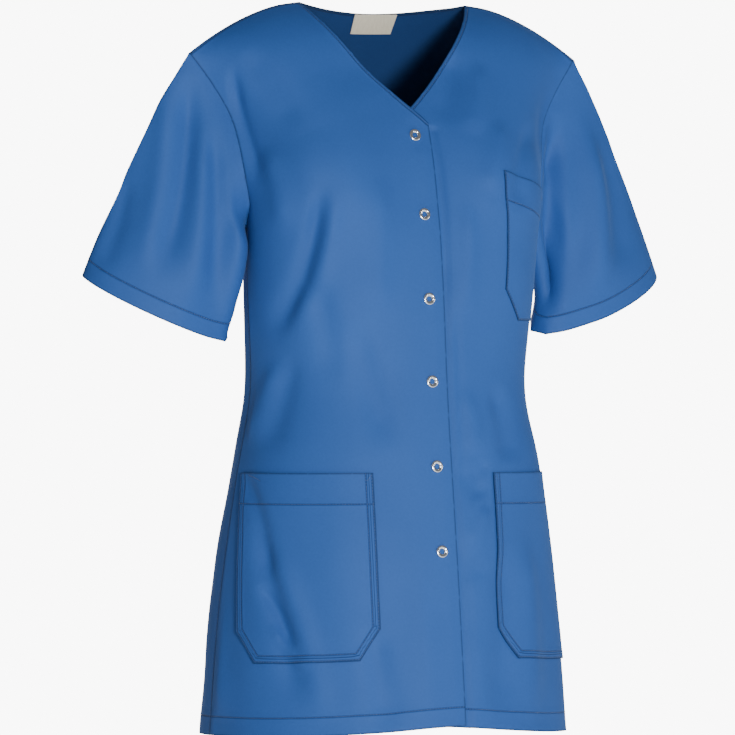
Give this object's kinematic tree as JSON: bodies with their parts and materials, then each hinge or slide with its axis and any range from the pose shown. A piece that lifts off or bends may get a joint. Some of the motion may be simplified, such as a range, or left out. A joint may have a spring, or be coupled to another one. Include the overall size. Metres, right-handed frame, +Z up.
{
  "type": "work tunic",
  "caption": "Short-sleeved V-neck work tunic closed with press studs down the front, with a chest pocket and two large hip pockets, in worn hollow form",
  "frame": {"origin": "between the shoulders, level with the neck points, where the wearer holds the tunic up", "axes": "+Z up, the front faces -Y, +X is the wearer's left"},
  "size_m": [0.659, 0.3063, 0.7576],
  "materials": {
    "tunic_cloth": "mid royal blue poly-cotton twill with a soft sheen",
    "label_cloth": "plain cream woven label",
    "snap_metal": "bright nickelled prong rings"
  },
  "bodies": {
    "root": {"back": "tunic_cloth", "front_left": "tunic_cloth", "front_right": "tunic_cloth", "label": "label_cloth", "pocket_chest": "tunic_cloth", "pocket_hip_left": "tunic_cloth", "pocket_hip_right": "tunic_cloth", "sleeve_left": "tunic_cloth", "sleeve_right": "tunic_cloth", "snap_back_1": "snap_metal", "snap_back_2": "snap_metal", "snap_back_3": "snap_metal", "snap_back_4": "snap_metal", "snap_back_5": "snap_metal", "snap_back_6": "snap_metal", "snap_core_1": "snap_metal", "snap_core_2": "snap_metal", "snap_core_3": "snap_metal", "snap_core_4": "snap_metal", "snap_core_5": "snap_metal", "snap_core_6": "snap_metal", "snap_ring_1": "snap_metal", "snap_ring_2": "snap_metal", "snap_ring_3": "snap_metal", "snap_ring_4": "snap_metal", "snap_ring_5": "snap_metal", "snap_ring_6": "snap_metal"}
  },
  "joints": []
}
